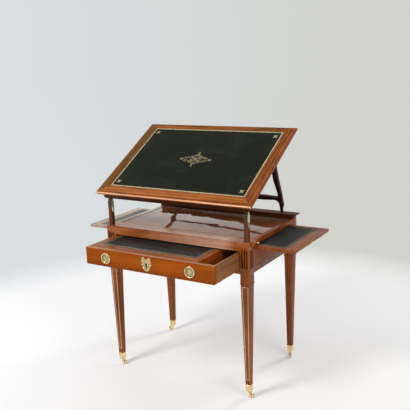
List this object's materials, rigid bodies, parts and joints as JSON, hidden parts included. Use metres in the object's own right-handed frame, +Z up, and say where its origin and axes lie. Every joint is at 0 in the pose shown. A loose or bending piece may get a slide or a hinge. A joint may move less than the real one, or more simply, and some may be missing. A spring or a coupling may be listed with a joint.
{
  "type": "architect table",
  "caption": "Architect's table with a tilting leather-lined top on posts and a strut, a writing drawer, side slides, tapered legs and casters.",
  "frame": {"origin": "on the floor, at the middle of the bounding box as pictured, with the drawer and both slides drawn out", "axes": "+Z up, the drawer opens towards -Y, +X to the right of someone who faces the drawer"},
  "size_m": [1.142, 0.7344, 1.1909],
  "materials": {
    "mahogany": "french polish, satin",
    "glossy_top": "mirror polish",
    "inner_wood": "plain, waxed",
    "dark_wood": "dark stain, satin",
    "leather": "dark green, satin",
    "brass": "polished, a little worn"
  },
  "bodies": {
    "table_body": {"leg_front_left": "mahogany", "leg_front_right": "mahogany", "leg_rear_left": "mahogany", "leg_rear_right": "mahogany", "stringing_front_left": "brass", "stringing_front_right": "brass", "sabot_front_left": "brass", "sabot_front_right": "brass", "sabot_rear_left": "brass", "sabot_rear_right": "brass", "front_rail": "mahogany", "apron_left": "mahogany", "apron_right": "mahogany", "apron_back": "mahogany", "side_rail_left": "mahogany", "side_rail_right": "mahogany", "top_panel": "glossy_top", "rear_rail": "mahogany", "rear_ledge": "mahogany", "drawer_frame": "mahogany", "slide_bearer": "inner_wood"},
    "caster_front_left": {"caster_fork_front_left": "brass"},
    "wheel_front_left": {"caster_wheel_front_left": "brass"},
    "caster_front_right": {"caster_fork_front_right": "brass"},
    "wheel_front_right": {"caster_wheel_front_right": "brass"},
    "caster_rear_left": {"caster_fork_rear_left": "brass"},
    "wheel_rear_left": {"caster_wheel_rear_left": "brass"},
    "caster_rear_right": {"caster_fork_rear_right": "brass"},
    "wheel_rear_right": {"caster_wheel_rear_right": "brass"},
    "slide_left": {"slide_left": "mahogany", "slide_leather_left": "leather", "slide_knob_left": "brass"},
    "slide_right": {"slide_right": "mahogany", "slide_leather_right": "leather", "slide_knob_right": "brass"},
    "drawer": {"drawer_front": "mahogany", "drawer_side_left": "inner_wood", "drawer_side_right": "inner_wood", "drawer_bottom": "inner_wood", "drawer_back": "inner_wood", "drawer_divider": "mahogany", "drawer_lock": "brass", "escutcheon": "brass", "handle_plate_left": "brass", "handle_plate_right": "brass"},
    "writing_board": {"writing_board": "mahogany", "board_leather": "leather"},
    "ring_left": {"handle_ring_left": "brass"},
    "ring_right": {"handle_ring_right": "brass"},
    "post_left": {"post_left": "mahogany", "post_cap_left": "brass"},
    "post_right": {"post_right": "mahogany", "post_cap_right": "brass"},
    "writing_top": {"writing_top": "mahogany", "writing_leather": "leather", "sub_frame": "mahogany"},
    "strut": {"strut": "dark_wood"},
    "catch_left": {"catch_left": "brass"},
    "catch_right": {"catch_right": "brass"}
  },
  "joints": [
    {"name": "caster_swivel_front_left", "type": "hinge", "parent": "table_body", "child": "caster_front_left", "pos_m": [-0.388, -0.12075, 0.03], "axis": [0, 0, 1], "continuous": true},
    {"name": "wheel_spin_front_left", "type": "hinge", "parent": "caster_front_left", "child": "wheel_front_left", "pos_m": [-0.37605, -0.12188, 0.013], "axis": [0.0941, 0.9956, 0], "continuous": true},
    {"name": "caster_swivel_front_right", "type": "hinge", "parent": "table_body", "child": "caster_front_right", "pos_m": [0.346, -0.12075, 0.03], "axis": [0, 0, 1], "continuous": true},
    {"name": "wheel_spin_front_right", "type": "hinge", "parent": "caster_front_right", "child": "wheel_front_right", "pos_m": [0.35795, -0.12188, 0.013], "axis": [0.0941, 0.9956, 0], "continuous": true},
    {"name": "caster_swivel_rear_left", "type": "hinge", "parent": "table_body", "child": "caster_rear_left", "pos_m": [-0.388, 0.34325, 0.03], "axis": [0, 0, 1], "continuous": true},
    {"name": "wheel_spin_rear_left", "type": "hinge", "parent": "caster_rear_left", "child": "wheel_rear_left", "pos_m": [-0.39962, 0.34027, 0.013], "axis": [0.2487, -0.9686, 0], "continuous": true},
    {"name": "caster_swivel_rear_right", "type": "hinge", "parent": "table_body", "child": "caster_rear_right", "pos_m": [0.346, 0.34325, 0.03], "axis": [0, 0, 1], "continuous": true},
    {"name": "wheel_spin_rear_right", "type": "hinge", "parent": "caster_rear_right", "child": "wheel_rear_right", "pos_m": [0.35145, 0.33256, 0.013], "axis": [0.891, 0.454, 0], "continuous": true},
    {"name": "slide_travel_left", "type": "slide", "parent": "table_body", "child": "slide_left", "axis": [-1, 0, 0], "range_m": [-0.15, 0.12]},
    {"name": "slide_travel_right", "type": "slide", "parent": "table_body", "child": "slide_right", "axis": [1, 0, 0], "range_m": [-0.192, 0.078]},
    {"name": "drawer_travel", "type": "slide", "parent": "table_body", "child": "drawer", "axis": [0, -1, 0], "range_m": [-0.214, 0.036]},
    {"name": "board_travel", "type": "slide", "parent": "drawer", "child": "writing_board", "axis": [0, 1, 0], "range_m": [0, 0.095]},
    {"name": "ring_swing_left", "type": "hinge", "parent": "drawer", "child": "ring_left", "pos_m": [-0.245, -0.36295, 0.6778], "axis": [-1, 0, 0], "range_deg": [0, 100]},
    {"name": "ring_swing_right", "type": "hinge", "parent": "drawer", "child": "ring_right", "pos_m": [0.203, -0.36295, 0.6778], "axis": [-1, 0, 0], "range_deg": [0, 100]},
    {"name": "post_lift_left", "type": "slide", "parent": "table_body", "child": "post_left", "axis": [0, 0, 1], "range_m": [-0.125, 0.02]},
    {"name": "post_lift_right", "type": "slide", "parent": "table_body", "child": "post_right", "axis": [0, 0, 1], "range_m": [-0.125, 0.02]},
    {"name": "top_tilt", "type": "hinge", "parent": "post_left", "child": "writing_top", "pos_m": [-0.021, -0.12575, 0.9045], "axis": [1, 0, 0], "range_deg": [-2.61, 16.04]},
    {"name": "strut_swing", "type": "hinge", "parent": "writing_top", "child": "strut", "pos_m": [-0.021, 0.21961, 1.1003], "axis": [1, 0, 0], "range_deg": [-2.51, 0.44]},
    {"name": "catch_pull_left", "type": "slide", "parent": "table_body", "child": "catch_left", "axis": [-1, 0, 0], "range_m": [0, 0.006], "stiffness_N_per_m": 500},
    {"name": "catch_pull_right", "type": "slide", "parent": "table_body", "child": "catch_right", "axis": [1, 0, 0], "range_m": [0, 0.006], "stiffness_N_per_m": 500}
  ],
  "couplings": [
    {"joint": "post_lift_right", "follows": "post_lift_left", "ratio": 1},
    {"joint": "top_tilt", "follows": "post_lift_left", "rad_per_m": -2.232},
    {"joint": "strut_swing", "follows": "post_lift_left", "rad_per_m": 0.343}
  ]
}
